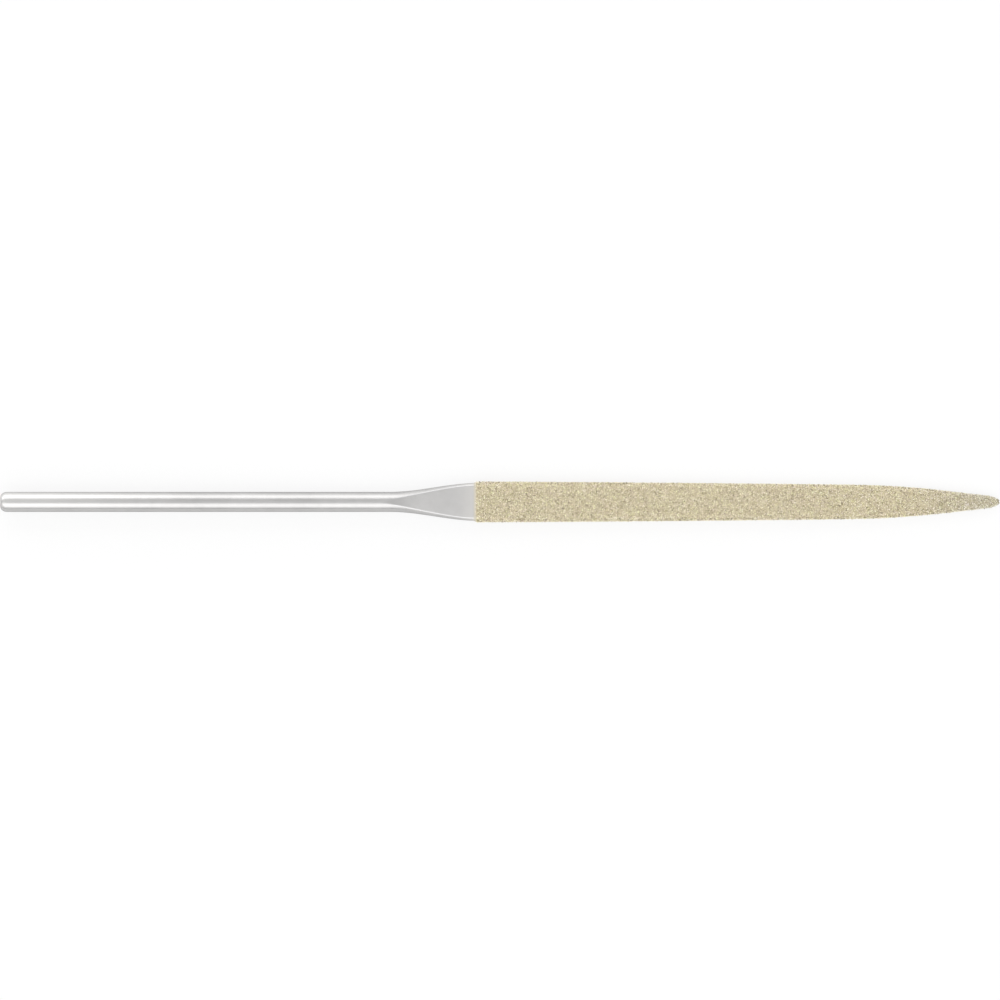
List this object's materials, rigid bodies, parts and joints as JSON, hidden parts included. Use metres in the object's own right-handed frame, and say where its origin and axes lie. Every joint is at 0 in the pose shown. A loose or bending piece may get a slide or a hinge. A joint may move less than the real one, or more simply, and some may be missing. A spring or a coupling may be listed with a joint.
{
  "type": "needle file",
  "caption": "Flat pointed needle file: round steel handle forged into a flat blade with rounded edges, coated with plated diamond grit.",
  "frame": {"origin": "centre of the flat end of the handle's butt, on the axis of the file", "axes": "+X along the file from the butt to the point, +Y across the blade's width, +Z out of the upper wide face"},
  "size_m": [0.14, 0.0058, 0.0028],
  "materials": {
    "satin_steel": "satin steel, ground lengthwise",
    "plated_nickel": "matt electroplated nickel",
    "diamond_grains": "rough layer of straw-coloured crystals"
  },
  "bodies": {
    "root": {"steel_blank": "satin_steel", "nickel_bond": "plated_nickel", "diamond_grit": "diamond_grains"}
  },
  "joints": []
}
